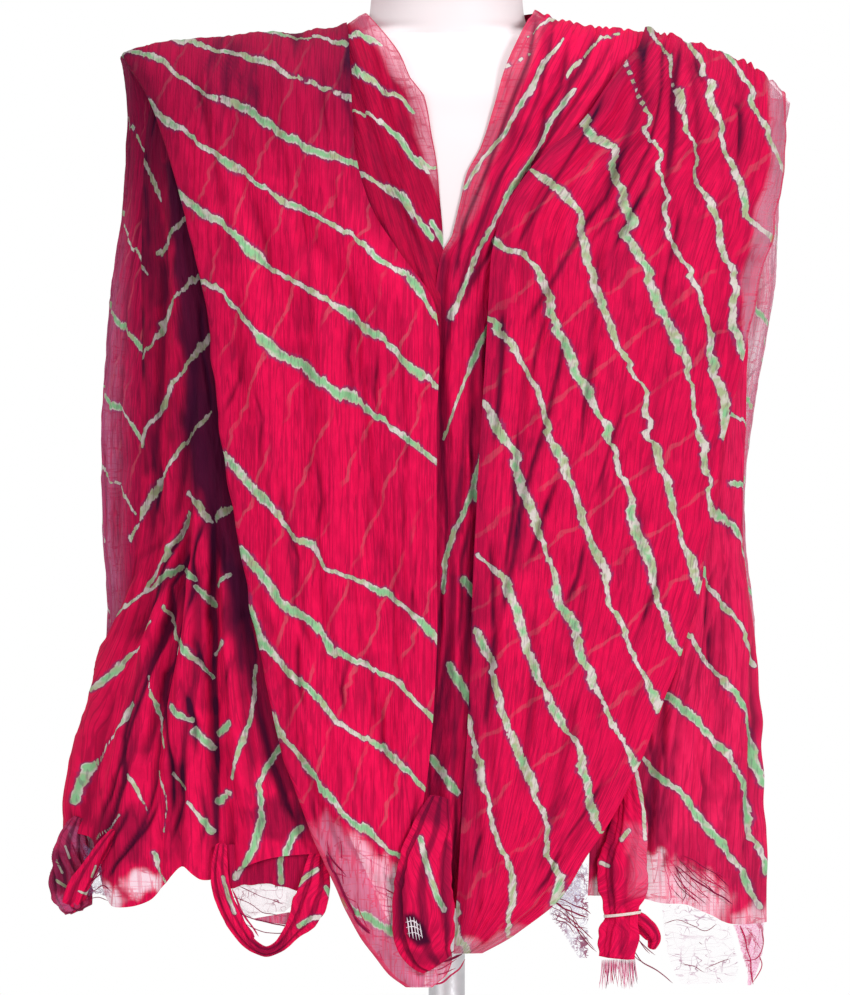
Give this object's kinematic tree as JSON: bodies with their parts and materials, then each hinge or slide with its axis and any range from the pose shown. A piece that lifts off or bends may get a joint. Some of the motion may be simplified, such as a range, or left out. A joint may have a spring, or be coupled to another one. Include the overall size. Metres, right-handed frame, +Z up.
{
  "type": "dupatta stole on a limbless dress form",
  "caption": "Leheriya dupatta stole draped over the shoulders of a limbless dress form, both ends falling down the front, on a round stand.",
  "frame": {"origin": "centre of the underside of the stand's round base", "axes": "+Z up, the front of the stole faces -Y, +X to the right of a viewer in front"},
  "size_m": [0.5058, 0.2653, 0.7513],
  "materials": {
    "silk": "crinkled tie-dyed silk, crimson with pale green and off-white stripes",
    "sheer_silk": "one sheer layer of the same silk, pink where light comes through",
    "net": "open, worn silk gauze at the hems, pale pink with darker threads",
    "tie": "off-white undyed thread",
    "form_skin": "smooth off-white satin shell",
    "stand_metal": "brushed metal pole and round base"
  },
  "bodies": {
    "root": {"front_panel_left": "silk", "front_panel_right": "silk", "neck_fold_left": "silk", "centre_fall": "silk", "side_fall_left": "silk", "side_fall_right": "silk", "side_wrap_left": "sheer_silk", "side_wrap_right": "sheer_silk", "back_fall": "silk", "hem_loop_left": "silk", "corner_bundle_left": "silk", "hem_curl_front": "silk", "tail_right": "silk", "tail_tie_right": "tie", "tail_fringe_right": "silk", "corner_net_right": "net", "hem_net_right": "net", "front_net_right": "net", "dress_form": "form_skin", "neck_cap": "form_skin", "stand_pole": "stand_metal", "stand_base": "stand_metal"}
  },
  "joints": []
}
